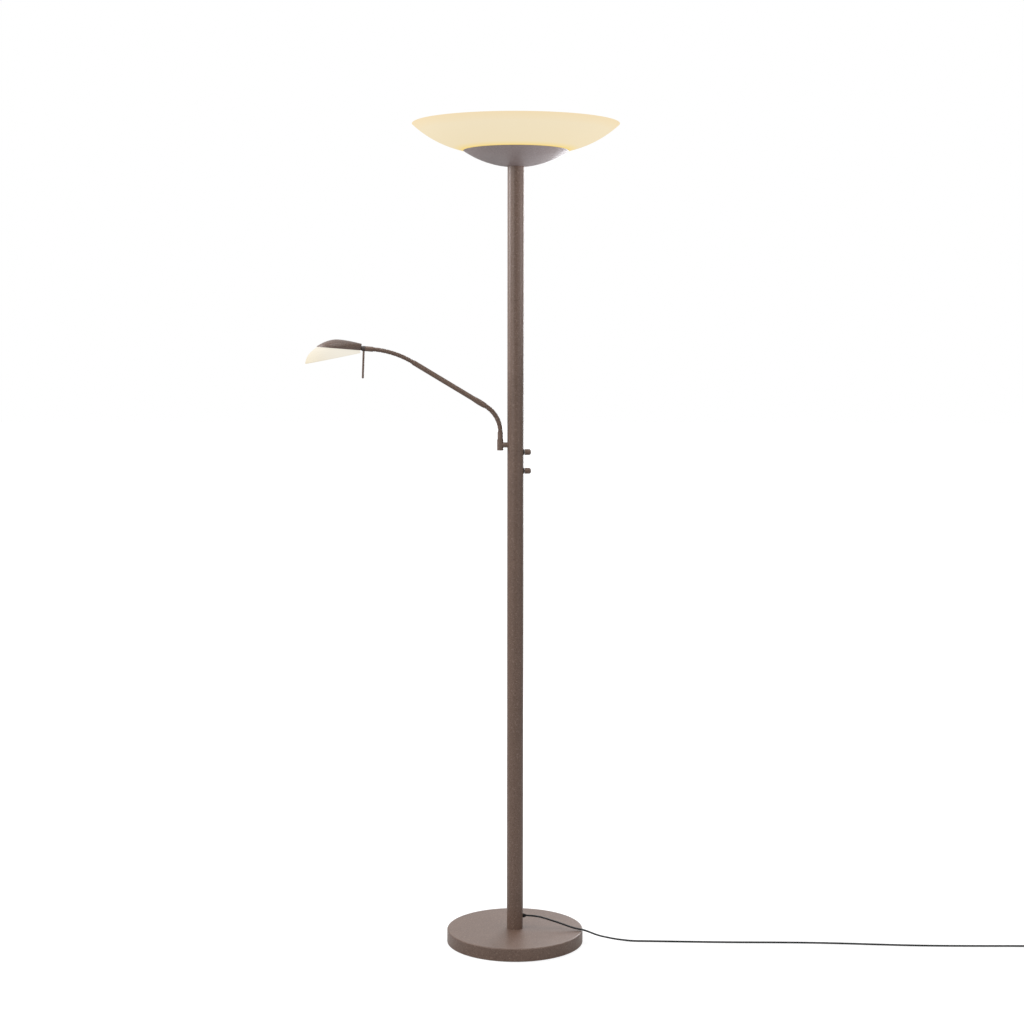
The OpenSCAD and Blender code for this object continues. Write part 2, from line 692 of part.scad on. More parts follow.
// Shaft with one flat, and the knob pressed on it
shaft_flat = 1.5;
module shaft_shape(r, flat, from_x, to_x) {
    difference() {
        translate([from_x, 0, 0]) rotate([0, 90, 0]) cylinder(r = r, h = to_x - from_x);
        translate([dimmer_nut_x + 0.2, -r - 1, flat]) cube([to_x, 2 * r + 2, r + 1]);
    }
}
module dimmer_shaft(z) {
    color(steel) translate([0, 0, z])
        shaft_shape(shaft_d / 2, shaft_d / 2 - shaft_flat, shaft_start_x, shaft_end_x);
}
module dimmer_shaft_upper() {
    dimmer_shaft(knob_heights[0]);
}
module dimmer_shaft_lower() {
    dimmer_shaft(knob_heights[1]);
}
module knob(z) {
    r = knob_d / 2;
    color(rust) translate([0, 0, z]) difference() {
        translate([knob_x, 0, 0]) rotate([0, 90, 0]) rotate_extrude() intersection() {
            square([r, knob_l]);
            union() {
                square([r - knob_edge_r, knob_l]);
                square([r, knob_l - knob_edge_r]);
                translate([r - knob_edge_r, knob_l - knob_edge_r]) circle(knob_edge_r);
            }
        }
        shaft_shape(shaft_d / 2 + run_fit, shaft_d / 2 - shaft_flat + run_fit, knob_x - 1, shaft_end_x + 0.2);
    }
}
module knob_upper() {
    knob(knob_heights[0]);
}
module knob_lower() {
    knob(knob_heights[1]);
}

// Bracket: an upright block with the swivel's bore, on a stub that passes the pole's wall
bracket_thread_d = 8;
bracket_nut_t = 3;
module arm_bracket() {
    thread_end_x = pole_in_r - bracket_nut_t - 1.5;
    color(rust) difference() {
        union() {
            translate([swivel_x, 0, block_bottom_z]) cylinder(r = block_d / 2, h = block_h);
            difference() {
                translate([swivel_x, 0, bracket_z]) rotate([0, 90, 0])
                    cylinder(r = stub_d / 2, h = bracket_reach - pole_r + 2);
                translate([0, 0, bracket_z - stub_d]) cylinder(r = pole_r, h = 2 * stub_d);
            }
            translate([swivel_x, 0, bracket_z]) rotate([0, 90, 0])
                cylinder(r = bracket_thread_d / 2, h = bracket_reach - thread_end_x);
        }
        translate([swivel_x, 0, block_bottom_z - 1]) cylinder(r = spigot_d / 2 + run_fit, h = block_h + 2);
        translate([swivel_x, 0, block_bottom_z - 1]) cylinder(r = clip_pocket_d / 2, h = clip_pocket_h + 1);
    }
}

module bracket_nut() {
    color(steel) translate([0, 0, bracket_z]) rotate([0, -90, 0]) difference() {
        intersection() {
            translate([0, 0, pole_in_r - bracket_nut_t - 1]) cylinder(r = 6.5, h = 10);
            rotate([0, 90, 0]) translate([0, 0, -10]) cylinder(r = pole_in_r, h = 20);
        }
        cylinder(r = bracket_thread_d / 2 + run_fit, h = 2 * pole_r);
    }
}

// Ribs round a flexible tube's core: first is the distance from a hinge to the nearest rib's middle
module rib_rings(d, l, first, to) {
    for (z = ribs(l, first, to)) rotate_extrude() translate([d / 2 - rib_r, z]) circle(rib_r, $fn = 24);
}

// One flexible-tube end that carries the ball: half a link that ends at the hinge at z = 0
module ball_end(d, l, first) {
    below = l / 2 + 1;
    sphere(ball_r);
    translate([0, 0, -below]) cylinder(r = d / 2 - rib_r, h = below - core_end);
    mirror([0, 0, 1]) rib_rings(d, l, first, l / 2 - 0.3);
}

// One flexible-tube end that holds the next ball: half a link that starts at the hinge at z = 0
module socket_end(d, l, first) {
    above = l / 2 + 1;
    difference() {
        union() {
            translate([0, 0, core_end]) cylinder(r = d / 2 - rib_r, h = above - core_end);
            rib_rings(d, l, first, l / 2 - 0.3);
        }
        sphere(socket_r);
    }
}

// One link: a ribbed tube from the socket's hinge at z = 0 to the ball's hinge at z = l
module flex_link(d, l, first) {
    difference() {
        union() {
            translate([0, 0, core_end]) cylinder(r = d / 2 - rib_r, h = l - 2 * core_end);
            rib_rings(d, l, first, l);
            translate([0, 0, l]) sphere(ball_r);
        }
        sphere(socket_r);
        translate([0, 0, -1]) cylinder(r = wire_bore / 2, h = l + ball_r + 2);
    }
}

// Puts a piece with its hinge or start at a point, its own +Z along the arm's heading
module along(p, a) {
    translate(p) rotate([0, -a, 0]) children();
}

module arm_swivel() {
    spigot_l = block_h - clip_pocket_h + 2.4;
    groove_z = block_bottom_z + clip_pocket_h - 1.3;
    wide_bore_l = ferrule_top_z - block_bottom_z;
    color(rust) difference() {
        union() {
            translate([swivel_x, 0, block_top_z + clear]) cylinder(r = ferrule_d / 2, h = ferrule_l);
            translate([swivel_x, 0, block_top_z + clear + 1 - spigot_l - 1])
                cylinder(r = spigot_d / 2, h = spigot_l + 1);
            along(lower_start, 0) ball_end(lower_flex_d, lower_link_l, lower_rib);
        }
        translate([swivel_x, 0, block_bottom_z - 1]) cylinder(r = wire_bore, h = wide_bore_l);
        translate([swivel_x, 0, block_bottom_z])
            cylinder(r = wire_bore / 2, h = wide_bore_l + lower_link_l / 2 + ball_r + 1);
        translate([swivel_x, 0, groove_z]) ring(spigot_d / 2 - 0.6, spigot_d, 1);
    }
}

// Spring clip in the spigot's groove, under the bracket's block
module swivel_clip() {
    groove_z = block_bottom_z + clip_pocket_h - 1.3;
    color(steel) translate([swivel_x, 0, groove_z + 0.1]) rotate([0, 0, 20])
        rotate_extrude(angle = 320) translate([spigot_d / 2 - 0.6 + run_fit, 0])
            square([clip_pocket_d / 2 - spigot_d / 2 + 0.6 - 2 * run_fit - 0.2, 0.8]);
}

module lower_flex(i) {
    color(rust) along(lower_hinges[i - 1], i * lower_turn) flex_link(lower_flex_d, lower_link_l, lower_rib);
}

module upper_flex(i) {
    color(rust) along(upper_hinges[i - 1], lower_bend + i * upper_turn)
        flex_link(upper_flex_d, upper_link_l, upper_rib);
}

// Coupler: the last half link, then a turned bush that takes the arm tube
coupler_seat = 12;
module arm_coupler() {
    barrel_r = pow(coupler_l, 2) / 6;
    half_link = lower_link_l / 2;
    color(rust) along(arm_start, lower_bend) difference() {
        union() {
            translate([0, 0, -half_link]) socket_end(lower_flex_d, lower_link_l, lower_rib);
            rotate_extrude() intersection() {
                translate([coupler_d / 2 - barrel_r, coupler_l / 2]) circle(barrel_r, $fn = 720);
                polygon([[0, 0], [lower_flex_d / 2 + 0.3, 0], [coupler_d / 2, 7], [coupler_d / 2, coupler_l - 3],
                         [arm_d / 2 + 0.45, coupler_l], [0, coupler_l]]);
            }
        }
        translate([0, 0, -half_link]) cylinder(r = wire_bore / 2, h = half_link + coupler_l);
        translate([0, 0, coupler_l - coupler_seat]) cylinder(r = arm_d / 2 + run_fit, h = coupler_seat + 1);
    }
}

// Arm tube: seated in the coupler, drawn in at its upper end round the first half link
arm_neck_l = 4;
module arm_tube() {
    tube_start = coupler_l - coupler_seat + 0.1;
    half_link = upper_link_l / 2;
    color(rust) along(arm_start, lower_bend) difference() {
        union() {
            translate([0, 0, tube_start]) cylinder(r = arm_d / 2, h = arm_l - arm_neck_l - tube_start);
            translate([0, 0, arm_l - arm_neck_l])
                cylinder(r1 = arm_d / 2, r2 = upper_flex_d / 2 + 0.4, h = arm_neck_l);
            translate([0, 0, arm_l + half_link]) ball_end(upper_flex_d, upper_link_l, upper_rib);
        }
        translate([0, 0, tube_start - 1])
            cylinder(r = arm_d / 2 - arm_wall, h = arm_l - arm_neck_l - 6 - tube_start + 1);
        translate([0, 0, tube_start]) cylinder(r = wire_bore / 2, h = arm_l + half_link);
    }
}

module end_sleeve() {
    half_link = upper_link_l / 2;
    color(rust) along(sleeve_start, head_angle) difference() {
        union() {
            translate([0, 0, -half_link]) socket_end(upper_flex_d, upper_link_l, upper_rib);
            cylinder(r = end_sleeve_d / 2, h = end_sleeve_l);
        }
        translate([0, 0, -half_link]) cylinder(r = wire_bore / 2, h = half_link + end_sleeve_l + 1);
        translate([0, 0, end_sleeve_l - spindle_l - 0.5]) cylinder(r = spindle_d / 2 + run_fit, h = spindle_l + 1);
    }
}

// The head's own frame: x runs out along its axis from the cover's rear end, z is up
module head_frame() {
    translate(head_start) rotate([0, 0, 180]) rotate([0, -head_tilt, 0]) children();
}

module head_swivel() {
    block_u = -neck_l - turn_block_l;
    color(dark_rust) head_frame() difference() {
        union() {
            translate([block_u - spindle_l, 0, 0]) rotate([0, 90, 0]) cylinder(r = spindle_d / 2, h = spindle_l + 1);
            translate([block_u, 0, 0]) rotate([0, 90, 0]) cylinder(r = turn_block_d / 2, h = turn_block_l);
            translate([-neck_l - 1, 0, 0]) rotate([0, 90, 0]) cylinder(r = neck_d / 2, h = neck_l + 1);
            translate([-1, 0, cover_hole_v]) rotate([0, 90, 0]) cylinder(r = neck_pin_d / 2, h = cover_floor + 1);
        }
        translate([block_u - spindle_l - 1, 0, 0]) rotate([0, 90, 0])
            cylinder(r = wire_bore / 2, h = spindle_l + turn_block_l + neck_l - 1);
        rod_frame() translate([0, 0, -turn_block_d]) cylinder(r = rod_d / 2 + run_fit, h = turn_block_d / 2 + rod_seat);
    }
}

module rod_frame() {
    translate([rod_u, 0, 0]) rotate([0, rod_lean, 0]) children();
}

module aim_handle() {
    rod_top = -turn_block_d / 2 + rod_seat - 0.1;
    color(rust) head_frame() rod_frame() union() {
        translate([0, 0, -rod_l + rod_d / 2]) cylinder(r = rod_d / 2, h = rod_l - rod_d / 2 + rod_top);
        translate([0, 0, -rod_l + rod_d / 2]) sphere(rod_d / 2);
    }
}

// Pear-shaped outline of the head: half its width at a share s of its length, with 1 as the widest
pear_full = 0.754;
function pear(s) = 2 * sqrt(max(0, s * (1 - s))) * (0.4 + 0.6 * s) / pear_full;
neck_half_w = 6.3;
cover_rise = cover_crown + cover_edge;
function cover_half(u) = let (s = u / cover_l)
    sqrt(pow(neck_half_w, 2) * (1 - s) + pow(cover_w / 2 * pear(s), 2));
function cover_top(u) = u < cover_crown_u
    ? mix(cover_back, cover_crown, sin(90 * u / cover_crown_u))
    : cover_crown - cover_rise * pow((u - cover_crown_u) / (cover_l - cover_crown_u), 2);

function boss_top(u) = min(cover_top(u - boss_d / 2), cover_top(u + boss_d / 2)) - cover_wall / 2;

// Cover: an outer and an inner vault of the same form, joined along their open lower edge
cover_stations = 30;
cover_arc = 20;
cover_hole_v = 2;
neck_pin_d = 6;
function vault(inset) =
    [for (j = [0 : cover_stations])
        let (share = (1 - cos(j / cover_stations * 177)) / 2,
             u = mix(inset > 0 ? cover_floor : 0, cover_l - inset * 1.6, share),
             place = u * cover_l / (cover_l - inset * 1.6 * share),
             w = max(0.3, cover_half(min(u, cover_l)) - inset),
             h = max(0.3, cover_top(u) + cover_edge - inset))
        for (k = [0 : cover_arc]) let (a = 180 * k / cover_arc)
            [u, w * cos(a), -cover_edge + h * sin(a)]];
function vault_faces(m, n) = let (row = n + 1, inner = (m + 1) * row, last = m * row) concat(
    [for (j = [0 : m - 1], k = [0 : n - 1]) let (a = j * row + k)
        each [[a, a + row, a + row + 1], [a, a + row + 1, a + 1]]],
    [for (j = [0 : m - 1], k = [0 : n - 1]) let (a = inner + j * row + k)
        each [[a, a + row + 1, a + row], [a, a + 1, a + row + 1]]],
    [for (k = [1 : n - 1]) [0, k, k + 1]],
    [for (k = [1 : n - 1]) [last, last + k + 1, last + k]],
    [for (k = [1 : n - 1]) [inner, inner + k + 1, inner + k]],
    [for (k = [1 : n - 1]) [inner + last, inner + last + k, inner + last + k + 1]],
    [for (j = [0 : m - 1]) let (a = j * row, b = inner + a)
        each [[a, b, b + row], [a, b + row, a + row]]],
    [for (j = [0 : m - 1]) let (a = j * row + n, b = inner + a)
        each [[a, b + row, b], [a, a + row, b + row]]],
    [[0, n, inner + n], [0, inner + n, inner]],
    [[last, inner + last + n, last + n], [last, inner + last, inner + last + n]]);

module head_cover() {
    color(rust) head_frame() union() {
        difference() {
            polyhedron(points = concat(vault(0), vault(cover_wall)), convexity = 6,
                       faces = vault_faces(cover_stations, cover_arc));
            translate([-1, 0, cover_hole_v]) rotate([0, 90, 0])
                cylinder(r = neck_pin_d / 2 + run_fit, h = cover_floor + 2);
        }
        for (u = boss_us) difference() {
            translate([u, 0, plate_top]) cylinder(r = boss_d / 2, h = boss_top(u) - plate_top);
            translate([u, 0, plate_top - 1]) cylinder(r = screw_d / 2 + run_fit, h = 9);
        }
    }
}

// Shade: closed sections round the head's outline, each down its outside, up its inside and round its flange
shade_sides = 64;
shade_steps = 7;
function outline(u0, u1, w, a) = let (s = (1 - cos(a)) / 2)
    [mix(u0, u1, s), sign(sin(a)) * w / 2 * pear(s)];
shade_top_l = shade_l - shade_front_pull;
shade_top_w = cover_w - 12;
function shade_point(a, s, inset) = let (
    top = outline(6 + inset, shade_top_l - inset, shade_top_w - 2 * inset, a),
    rim = outline(1 + inset, shade_l - inset, shade_w - 2 * inset, a),
    bulge = shade_bulge * sin(180 * s) * pow((1 - cos(a)) / 2, 2),
    rim_v = -shade_back_drop - tan(shade_slope) * rim[0],
    flat = mix(top, rim, s),
    push = bulge * unit([flat[0] - lens_u, flat[1]]))
    [flat[0] + push[0], flat[1] + push[1], mix(glass_top, rim_v, s)];
flange_share = 0.115;
function shade_section(a) = let (
    low = shade_point(a, 1, shade_t / 2),
    ledge = outline(6 + shade_t + flange_w, shade_top_l - shade_t - flange_w,
                    shade_top_w - 2 * (shade_t + flange_w), a),
    ledge_v = glass_top - flange_t)
    concat(
        [for (k = [0 : shade_steps]) shade_point(a, k / shade_steps, 0)],
        [low - [0, 0, 0.8]],
        [for (k = [shade_steps : -1 : 1]) shade_point(a, k / shade_steps, shade_t)],
        [let (q = shade_point(a, flange_share, shade_t)) [q[0], q[1], ledge_v]],
        [[ledge[0], ledge[1], ledge_v], [ledge[0], ledge[1], glass_top]]);
function torus_faces(m, n) = [for (j = [0 : m - 1], k = [0 : n - 1])
    let (a = j * n + k, b = j * n + (k + 1) % n, c = ((j + 1) % m) * n)
    each [[a, b, c + (k + 1) % n], [a, c + (k + 1) % n, c + k]]];

module head_glass() {
    sections = [for (j = [0 : shade_sides - 1]) shade_section((j + 0.5) * 360 / shade_sides)];
    color(cream_glass) head_frame()
        polyhedron(points = [for (s = sections) each s], convexity = 6,
                   faces = torus_faces(shade_sides, len(sections[0])));
}

// Plate that clamps the shade's flange up into the cover and carries the light
module head_plate() {
    edge = shade_t + 1.6;
    color(aluminium) head_frame() translate([0, 0, plate_top - plate_t]) difference() {
        linear_extrude(plate_t) polygon([for (j = [0 : shade_sides - 1])
            outline(6 + edge, shade_top_l - edge + 1.5, shade_top_w - 2 * edge, (j + 0.5) * 360 / shade_sides)]);
        for (u = boss_us) translate([u, 0, -1]) cylinder(r = screw_d / 2 + 0.2, h = plate_t + 2);
        translate([lens_u, 0, -1]) cylinder(r = 3, h = plate_t + 2);
    }
}

module head_led_board() {
    top = plate_top - plate_t;
    color(board_white) head_frame() translate([lens_u, 0, top - board_t])
        cylinder(r = lens_d / 2 - 3, h = board_t);
    color(chip_yellow) head_frame() translate([lens_u, 0, top - board_t - 1])
        cylinder(r = 5.5, h = 1);
}

module head_lens() {
    top = plate_top - plate_t;
    depth = 8;
    round_r = 4;
    wall = 1.8;
    r = lens_d / 2;
    color(opal) head_frame() translate([lens_u, 0, top]) mirror([0, 0, 1]) rotate_extrude() difference() {
        union() {
            square([r - round_r, depth]);
            square([r, depth - round_r]);
            translate([r - round_r, depth - round_r]) circle(round_r);
        }
        union() {
            translate([-1, -1]) square([r - round_r + 1, depth - wall + 1]);
            translate([-1, -1]) square([r - wall + 1, depth - round_r + 1]);
            translate([r - round_r, depth - round_r]) circle(round_r - wall);
        }
    }
}

module head_screws() {
    low = plate_top - plate_t;
    head_r = 2.75;
    head_h = 2;
    color(steel) head_frame() for (u = boss_us) translate([u, 0, 0]) difference() {
        union() {
            translate([0, 0, low - head_h]) cylinder(r = head_r, h = head_h);
            translate([0, 0, low - 1]) cylinder(r = screw_d / 2, h = plate_t + 7);
        }
        translate([0, 0, low - head_h - 1]) cylinder(r = 1.15, h = 2.2, $fn = 6);
    }
}

module cord_tube() {
    color(black) sweep(smooth(lead_points, 15), lead_section, [0, 0, 1]);
}

// Coil: the turns wind inwards on the floor, climb a layer over half a turn, then wind out again on top.
// On top each turn steps out over half a turn and keeps its radius over the other half.
coil_rings = 24;
top_start = coil_turns;
climb_start = coil_turns - 0.5;
coil_end = 2 * coil_turns - 0.25;
function ease(s) = (1 - cos(180 * min(1, max(0, s)))) / 2;
function coil_radius(t) = t < top_start
    ? coil_out_r - coil_pitch * t
    : coil_out_r - coil_pitch * top_start + 1.5 * coil_pitch * ease((t - top_start) / 0.5)
        + coil_pitch * ease((t - top_start - 1) / 0.5);
function coil_level(t) = coil_low + coil_layer * ease((t - climb_start) / 0.5);
function coil_point(t) = let (a = 90 - 360 * t, r = coil_radius(t))
    [coil_x + r * cos(a), coil_y + r * sin(a), coil_level(t)];
coil_last = coil_point(coil_end);
tail_rise = plug_z - coil_low - coil_layer;
coil_tail = [for (q = [[6, 0], [14, -1], [22, -2.8], [30, -3.8], [38, -3.4], [46, -1.6], [54, -0.2],
                       [60, tail_rise], [66, tail_rise]])
    coil_last + [0, -q[0], q[1]]];
coil_path = concat(
    [coil_start, coil_start + [3, 0, 0]],
    [for (i = [0 : round(coil_end * coil_rings)]) coil_point(i / coil_rings)],
    coil_tail);
plug_start = coil_tail[len(coil_tail) - 1];
function path_length(p) = len(p) < 2 ? 0 : [for (i = [0 : len(p) - 2]) norm(p[i + 1] - p[i])]
    * [for (i = [0 : len(p) - 2]) 1];
function self_gap(path, skip) = min([for (i = [0 : 2 : len(path) - 1 - skip], j = [i + skip : len(path) - 1])
    let (d = path[i] - path[j], flat = norm([d[0], d[1]]), up = abs(d[2]))
    max(flat - lead_w, up - lead_t)]);

module cord_coil() {
    color(black) sweep(coil_path, coil_section, [0, 0, 1]);
}

// Tie: a closed band round the bundle of turns, on the side that faces the lamp
tie_w = 7;
module cord_tie() {
    low = 0.1;
    in_r = coil_radius(climb_start) - lead_w / 2 - 0.6;
    out_r = coil_radius(coil_end) + lead_w / 2 + 0.6;
    in_h = coil_low + coil_layer + lead_t / 2 + 0.4 - tie_t - low;
    edge = 1.5;
    color(black) translate([coil_x, coil_y + tie_w / 2, low]) rotate([90, 0, 0]) linear_extrude(tie_w) difference() {
        union() {
            translate([-out_r - tie_t, edge]) square([out_r - in_r + 2 * tie_t, in_h + 2 * tie_t - 2 * edge]);
            translate([-out_r - tie_t + edge, 0]) square([out_r - in_r + 2 * tie_t - 2 * edge, in_h + 2 * tie_t]);
            for (x = [-out_r - tie_t + edge, -in_r + tie_t - edge], y = [edge, in_h + 2 * tie_t - edge])
                translate([x, y]) circle(edge);
        }
        translate([-out_r, tie_t]) square([out_r - in_r, in_h]);
    }
}

// Plug: a flat moulded body that narrows towards the lead, with two round pins
module plug_frame() {
    translate(plug_start) rotate([0, 0, -90]) children();
}
plug_neck_l = 8;
plug_full = plug_neck_l + plug_body_l;
plug_waist_d = 8;
grip_from = 13;
grip_pitch = 4;
grip_depth = 0.5;
grip_count = 4;
grip_to = grip_from + grip_count * grip_pitch;
plug_round = 1.2;
plug_cut = concat([0, 0.2, 2, 2.4, 3.6, 4, 5.6, 6, 8, 10, 12],
    [for (x = [grip_from : grip_pitch / 4 : grip_to]) x], [grip_to + 3, plug_full - 6, plug_full - plug_round],
    [for (a = [30 : 30 : 90]) plug_full - plug_round * (1 - sin(a))]);
function grip(x) = x < grip_from || x > grip_to ? 0 : grip_depth * (1 - cos(360 * (x - grip_from) / grip_pitch)) / 2;
function nose_round(x) = let (d = max(0, x - plug_full + plug_round)) plug_round - sqrt(pow(plug_round, 2) - d * d);
function boot_step(x) = x > 2.2 && x < 3.8 ? 0.6 : 0;
function plug_half(x) =
    mix(plug_waist_d / 2, plug_w / 2, ease((x - 8) / (grip_to - 12))) - nose_round(x) - boot_step(x);
function plug_thick(x) =
    mix(plug_waist_d / 2 - 0.7, plug_h / 2, ease((x - 6) / (grip_to - 10))) - nose_round(x) - grip(x) - boot_step(x);
// One section of the moulding: a flat hexagon whose corners are each cut by two small steps
function plug_section(x) = let (w = plug_half(x), h = plug_thick(x), s = 0.74,
    corner = [[w, 0], [s * w, h], [-s * w, h], [-w, 0], [-s * w, -h], [s * w, -h]])
    [for (i = [0 : 5]) let (before = corner[(i + 5) % 6], here = corner[i], after = corner[(i + 1) % 6],
        r = 0.34 * min(norm(here - before), norm(here - after)), a = here + r * unit(before - here),
        b = here + r * unit(after - here))
        each [a, (a + 2 * here + b) / 4, b]];
module plug_body() {
    rings = [for (x = plug_cut) [for (p = plug_section(x)) [x, p[0], p[1]]]];
    color(black) plug_frame() difference() {
        polyhedron(points = [for (r = rings) each r], faces = tube_faces(len(rings), len(rings[0])), convexity = 6);
        for (side = [-1, 1]) translate([plug_full - pin_seat, side * pin_gap / 2, 0]) rotate([0, 90, 0])
            cylinder(r = shank_d / 2 + run_fit, h = pin_seat + 1);
    }
}

// The pins' thinner shanks sit in the plug's body
pin_seat = 9;
shank_d = 3;
module plug_pins() {
    color(steel) plug_frame() for (side = [-1, 1]) translate([plug_neck_l + plug_body_l, side * pin_gap / 2, 0]) {
        rotate([0, 90, 0]) cylinder(r = pin_d / 2, h = pin_l);
        translate([-pin_seat + 0.1, 0, 0]) rotate([0, 90, 0]) cylinder(r = shank_d / 2, h = pin_seat + 1);
    }
}

echo(coil_gap = self_gap(coil_path, 12), shown_lead = path_length(smooth(lead_points, 15)),
     coil_length = path_length(coil_path));
echo( lower_hinges = lower_hinges, upper_hinges = upper_hinges);
echo(head_start = head_start, head_tilt = head_tilt, pole_top_z = pole_top_z, plug_start = plug_start);
echo(dish_rim_z = dish_rim_z, carrier_z = carrier_z, coil_centre = [coil_x, coil_y], turn_start = turn_start);

base_pad();
base_weight();
base_cover();
base_nut();
pole_foot();
pole_lower();
pole_joiner();
pole_upper();
pole_top_plug();
cord_gland();
inner_lead();
dish();
dish_nuts();
glass_gasket();
glass_bowl();
glass_washer();
led_carrier();
led_board();
diffuser();
driver();
dimmer_upper();
dimmer_lower();
dimmer_nuts();
dimmer_shaft_upper();
dimmer_shaft_lower();
knob_upper();
knob_lower();
arm_bracket();
bracket_nut();
arm_swivel();
swivel_clip();
for (i = [1 : lower_links]) lower_flex(i);
arm_coupler();
arm_tube();
for (i = [1 : upper_links]) upper_flex(i);
end_sleeve();
head_swivel();
aim_handle();
head_cover();
head_glass();
head_plate();
head_led_board();
head_lens();
head_screws();
cord_tube();
cord_coil();
cord_tie();
plug_body();
plug_pins();
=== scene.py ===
import json
import math
import bpy
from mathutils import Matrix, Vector


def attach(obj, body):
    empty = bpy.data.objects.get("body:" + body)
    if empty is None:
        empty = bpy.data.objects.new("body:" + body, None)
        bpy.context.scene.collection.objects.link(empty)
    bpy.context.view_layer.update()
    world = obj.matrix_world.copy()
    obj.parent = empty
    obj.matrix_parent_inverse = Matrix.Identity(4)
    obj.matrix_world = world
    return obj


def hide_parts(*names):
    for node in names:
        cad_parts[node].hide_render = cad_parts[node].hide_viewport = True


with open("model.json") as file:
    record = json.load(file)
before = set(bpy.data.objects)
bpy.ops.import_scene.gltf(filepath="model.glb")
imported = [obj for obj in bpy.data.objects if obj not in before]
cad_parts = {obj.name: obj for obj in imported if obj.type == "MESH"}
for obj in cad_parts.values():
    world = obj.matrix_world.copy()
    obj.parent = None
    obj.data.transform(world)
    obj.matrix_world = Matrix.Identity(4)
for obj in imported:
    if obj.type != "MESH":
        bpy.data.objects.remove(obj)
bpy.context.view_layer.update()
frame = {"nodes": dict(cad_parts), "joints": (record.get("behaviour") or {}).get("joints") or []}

nodes = frame["nodes"]
MM = 0.001


# Camera: pitched down a little, as the photograph was taken, with angles in degrees
camera_pitch = 4.903
camera_roll = 0.0645
camera_data = bpy.data.cameras.new("camera")
camera_data.lens = 66.19
camera_data.sensor_width = 36.0
camera = bpy.data.objects.new("camera", camera_data)
camera.location = (-0.0075, -4.1093, 1.3130)
camera.rotation_euler = (math.radians(90 - camera_pitch), 0, 0)
camera.rotation_euler.rotate_axis("Z", math.radians(camera_roll))
bpy.context.scene.collection.objects.link(camera)
bpy.context.scene.camera = camera


# Meshes
def mesh_object(name, points, faces):
    mesh = bpy.data.meshes.new(name)
    mesh.from_pydata([tuple(p) for p in points], [], faces)
    mesh.validate()
    mesh.update()
    mesh.shade_smooth()
    thing = bpy.data.objects.new(name, mesh)
    bpy.context.scene.collection.objects.link(thing)
    return thing


def loft(name, rings, closed_ends=True):
    """A skin over rings of points that all have the same number of points."""
    sides = len(rings[0])
    points = [p for ring in rings for p in ring]
    faces = []
    for i in range(len(rings) - 1):
        for k in range(sides):
            a = i * sides + k
            b = i * sides + (k + 1) % sides
            faces.append((a, b, b + sides, a + sides))
    if closed_ends:
        last = (len(rings) - 1) * sides
        faces.append(tuple(range(sides - 1, -1, -1)))
        faces.append(tuple(range(last, last + sides)))
    return mesh_object(name, points, faces)


# Mains lead: the same route as in the part's source, in millimetres
lead_w = 5.4
lead_t = 3.4
lead_low = lead_t / 2 + 0.2
coil_low = lead_t / 2 + 0.8 + 0.2
coil_layer = lead_t + 0.6
coil_pitch = 6.0
coil_turns = 2.25
coil_out_r = 30 + coil_pitch * coil_turns / 2
plug_z = 13.7 / 2 + 0.2
route = [
    (24, 0, 57), (31, 0, 56.8), (44, -1, 56), (56, -2, 54.3),
    (69, -4, 51.3), (83, -7, 47.6), (97, -10, 43.9), (111, -13.5, 39.9), (125, -17, 36),
    (138, -20, 33.2), (150, -22, 31.5), (162, -23, 28), (174, -22.5, 23), (188, -20, 17.5),
    (203, -16, 12.8), (222, -12, 7.8), (243, -9, 4), (265, -8.5, lead_low), (300, -10, lead_low),
    (345, -12, lead_low), (395, -14.3, lead_low), (450, -16.3, lead_low), (510, -17.5, lead_low),
    (575, -18, lead_low), (640, -19.5, lead_low), (705, -23, lead_low), (770, -28.5, lead_low),
    (835, -34.5, lead_low), (900, -39, lead_low), (965, -41, lead_low), (1030, -41.5, lead_low),
    (1090, -41.5, lead_low), (1135, -41.5, lead_low), (1160, -41.5, coil_low), (1170, -41.5, coil_low),
    (1178, -41.5, coil_low)]
coil_x = route[-1][0] + 6
coil_y = route[-1][1] - coil_out_r


def ease(s):
    return (1 - math.cos(math.pi * min(1, max(0, s)))) / 2


def coil_radius(t):
    if t < coil_turns:
        return coil_out_r - coil_pitch * t
    first_step = 1.5 * coil_pitch * ease((t - coil_turns) / 0.5)
    second_step = coil_pitch * ease((t - coil_turns - 1) / 0.5)
    return coil_out_r - coil_pitch * coil_turns + first_step + second_step


def coil_point(t):
    a = math.radians(90 - 360 * t)
    r = coil_radius(t)
    level = coil_low + coil_layer * ease((t - coil_turns + 0.5) / 0.5)
    return Vector((coil_x + r * math.cos(a), coil_y + r * math.sin(a), level))


def smooth_path(points, step):
    """A smooth curve through the points, in parts about one step long."""
    points = [Vector(p) for p in points]
    out = []
    for i in range(len(points) - 1):
        a = points[max(i - 1, 0)]
        b = points[i]
        c = points[i + 1]
        d = points[min(i + 2, len(points) - 1)]
        parts = max(1, round((c - b).length / step))
        for k in range(parts):
            s = k / parts
            out.append(0.5 * ((2 * b) + (c - a) * s + (2 * a - 5 * b + 4 * c - d) * s * s
                              + (3 * b - a - 3 * c + d) * s ** 3))
    out.append(points[-1])
    return out


